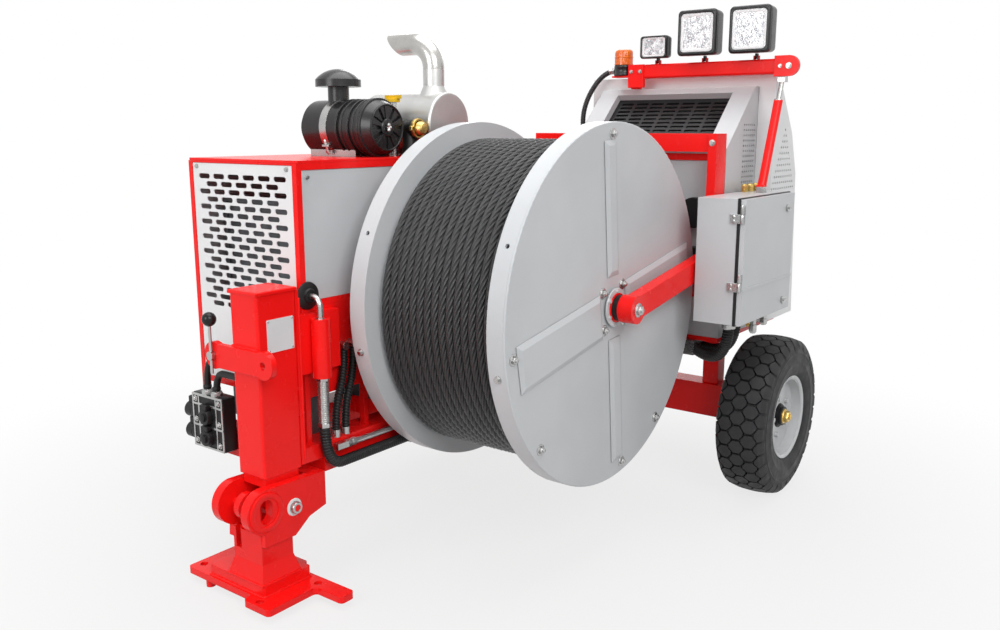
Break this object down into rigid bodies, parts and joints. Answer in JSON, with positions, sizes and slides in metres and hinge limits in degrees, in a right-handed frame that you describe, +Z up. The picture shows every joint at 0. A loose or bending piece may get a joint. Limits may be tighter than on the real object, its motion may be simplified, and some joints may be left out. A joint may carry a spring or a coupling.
{
  "type": "puller tensioner",
  "caption": "Towable hydraulic puller tensioner: rope wound drum on an arm, engine housing, jack leg with hinged foot, road wheels, control cabinet and work lamps.",
  "frame": {"origin": "centre of the overall box at ground level", "axes": "+X forward to the jack leg, +Y left to the open drum face, +Z up"},
  "size_m": [2.78, 1.952, 2.311],
  "materials": {
    "red_paint": "gloss enamel",
    "drum_grey": "satin silver grey paint",
    "panel_grey": "satin grey paint",
    "white_paint": "satin white paint",
    "rope_black": "greased stranded wire rope",
    "bare_steel": "zinc plated and bare steel",
    "stainless": "brushed stainless pipe",
    "muffler_silver": "heat proof silver paint",
    "hose_rubber": "matt black rubber",
    "tyre_rubber": "matt black tread rubber",
    "rim_silver": "silver paint",
    "black_plastic": "textured black plastic",
    "amber": "clear amber",
    "engine_iron": "dark engine enamel",
    "core_aluminium": "finned core",
    "valve_aluminium": "machined aluminium",
    "black_steel": "black enamel",
    "yellow_plastic": "yellow plastic",
    "plate_bare": "bare brushed plate"
  },
  "bodies": {
    "chassis": {"drum_pedestal": "red_paint", "drive_gearbox": "engine_iron", "drive_motor": "black_steel", "arm_bearing": "bare_steel", "drum_arm": "red_paint", "main_frame": "red_paint", "axle_beam": "red_paint", "leg_column": "red_paint", "nameplate": "plate_bare", "front_bracket": "red_paint", "housing_frame": "red_paint", "front_grille": "white_paint", "housing_panels": "panel_grey", "engine_block": "engine_iron", "radiator": "core_aluminium", "oil_tank": "black_steel", "air_filter_body": "black_plastic", "air_filter_cover": "black_plastic", "rain_cap": "black_plastic", "muffler": "muffler_silver", "exhaust_elbow": "stainless", "intake_hose": "hose_rubber", "rear_frame": "red_paint", "guard_panel": "panel_grey", "guard_buffers": "hose_rubber", "rear_hood": "panel_grey", "hood_grille": "black_steel", "rear_cover": "white_paint", "cabinet_box": "panel_grey", "light_bar": "red_paint", "light_bar_stay": "red_paint", "beacon_base": "black_plastic", "beacon_lens": "amber", "ribbed_hoses": "hose_rubber", "hydraulic_hoses": "hose_rubber", "steel_fittings": "bare_steel", "valve_block": "valve_aluminium"},
    "drum": {"near_flange": "drum_grey", "near_cover": "drum_grey", "far_flange": "drum_grey", "drum_barrel": "drum_grey", "drum_shaft": "bare_steel", "drum_rope": "rope_black", "drum_bolts": "bare_steel"},
    "left_wheel": {"left_tyre": "tyre_rubber", "left_rim": "rim_silver"},
    "right_wheel": {"right_tyre": "tyre_rubber", "right_rim": "rim_silver"},
    "leg": {"leg_inner": "red_paint"},
    "foot_plate": {"foot": "red_paint"},
    "lock": {"lock_lever": "black_steel"},
    "door": {"cabinet_door": "panel_grey"},
    "latch_upper": {"door_latch_upper": "bare_steel"},
    "latch_lower": {"door_latch_lower": "bare_steel"},
    "lever": {"control_lever": "black_plastic"},
    "left_lamp": {"lamp_left": "black_plastic"},
    "middle_lamp": {"lamp_middle": "black_plastic"},
    "small_lamp": {"lamp_small": "black_plastic"},
    "fan": {"cooling_fan": "black_plastic"},
    "oil_cap": {"filler_cap": "yellow_plastic"}
  },
  "joints": [
    {"name": "drum_spin", "type": "hinge", "parent": "chassis", "child": "drum", "pos_m": [0.165, 0, 1.068], "axis": [0, 1, 0], "continuous": true},
    {"name": "left_wheel_spin", "type": "hinge", "parent": "chassis", "child": "left_wheel", "pos_m": [-0.969, 0.852, 0.388], "axis": [0, 1, 0], "continuous": true},
    {"name": "right_wheel_spin", "type": "hinge", "parent": "chassis", "child": "right_wheel", "pos_m": [-0.969, -0.852, 0.388], "axis": [0, 1, 0], "continuous": true},
    {"name": "leg_extend", "type": "slide", "parent": "chassis", "child": "leg", "axis": [0, 0, -1], "range_m": [0, 0.25]},
    {"name": "foot_tilt", "type": "hinge", "parent": "leg", "child": "foot_plate", "pos_m": [1.175, -0.265, 0.363], "axis": [0, 1, 0], "range_deg": [-10, 10]},
    {"name": "lock_lever_turn", "type": "hinge", "parent": "chassis", "child": "lock", "pos_m": [1.3145, -0.421, 0.94], "axis": [1, 0, 0], "range_deg": [-30, 30]},
    {"name": "door_open", "type": "hinge", "parent": "chassis", "child": "door", "pos_m": [-0.322, 0.93875, 1.2], "axis": [0, 0, -1], "range_deg": [0, 110]},
    {"name": "latch_upper_turn", "type": "hinge", "parent": "door", "child": "latch_upper", "pos_m": [-0.802, 0.95, 1.414], "axis": [0, 1, 0], "range_deg": [0, 90]},
    {"name": "latch_lower_turn", "type": "hinge", "parent": "door", "child": "latch_lower", "pos_m": [-0.802, 0.95, 0.993], "axis": [0, 1, 0], "range_deg": [0, 90]},
    {"name": "control_lever_tilt", "type": "hinge", "parent": "chassis", "child": "lever", "pos_m": [-0.612, 0.775, 1.21], "axis": [1, 0, 0], "range_deg": [-20, 20]},
    {"name": "left_lamp_tilt", "type": "hinge", "parent": "chassis", "child": "left_lamp", "pos_m": [-0.935, 0.716, 2.092], "axis": [0, 1, 0], "range_deg": [-20, 20]},
    {"name": "middle_lamp_tilt", "type": "hinge", "parent": "chassis", "child": "middle_lamp", "pos_m": [-0.935, 0.458, 2.092], "axis": [0, 1, 0], "range_deg": [-20, 20]},
    {"name": "small_lamp_tilt", "type": "hinge", "parent": "chassis", "child": "small_lamp", "pos_m": [-0.935, 0.208, 2.092], "axis": [0, 1, 0], "range_deg": [-20, 20]},
    {"name": "fan_spin", "type": "hinge", "parent": "chassis", "child": "fan", "pos_m": [0.82, -0.58, 1.05], "axis": [1, 0, 0], "continuous": true},
    {"name": "filler_cap_turn", "type": "hinge", "parent": "chassis", "child": "oil_cap", "pos_m": [0.363, -0.369, 1.88], "axis": [0, 0, 1], "range_deg": [0, 90]}
  ]
}
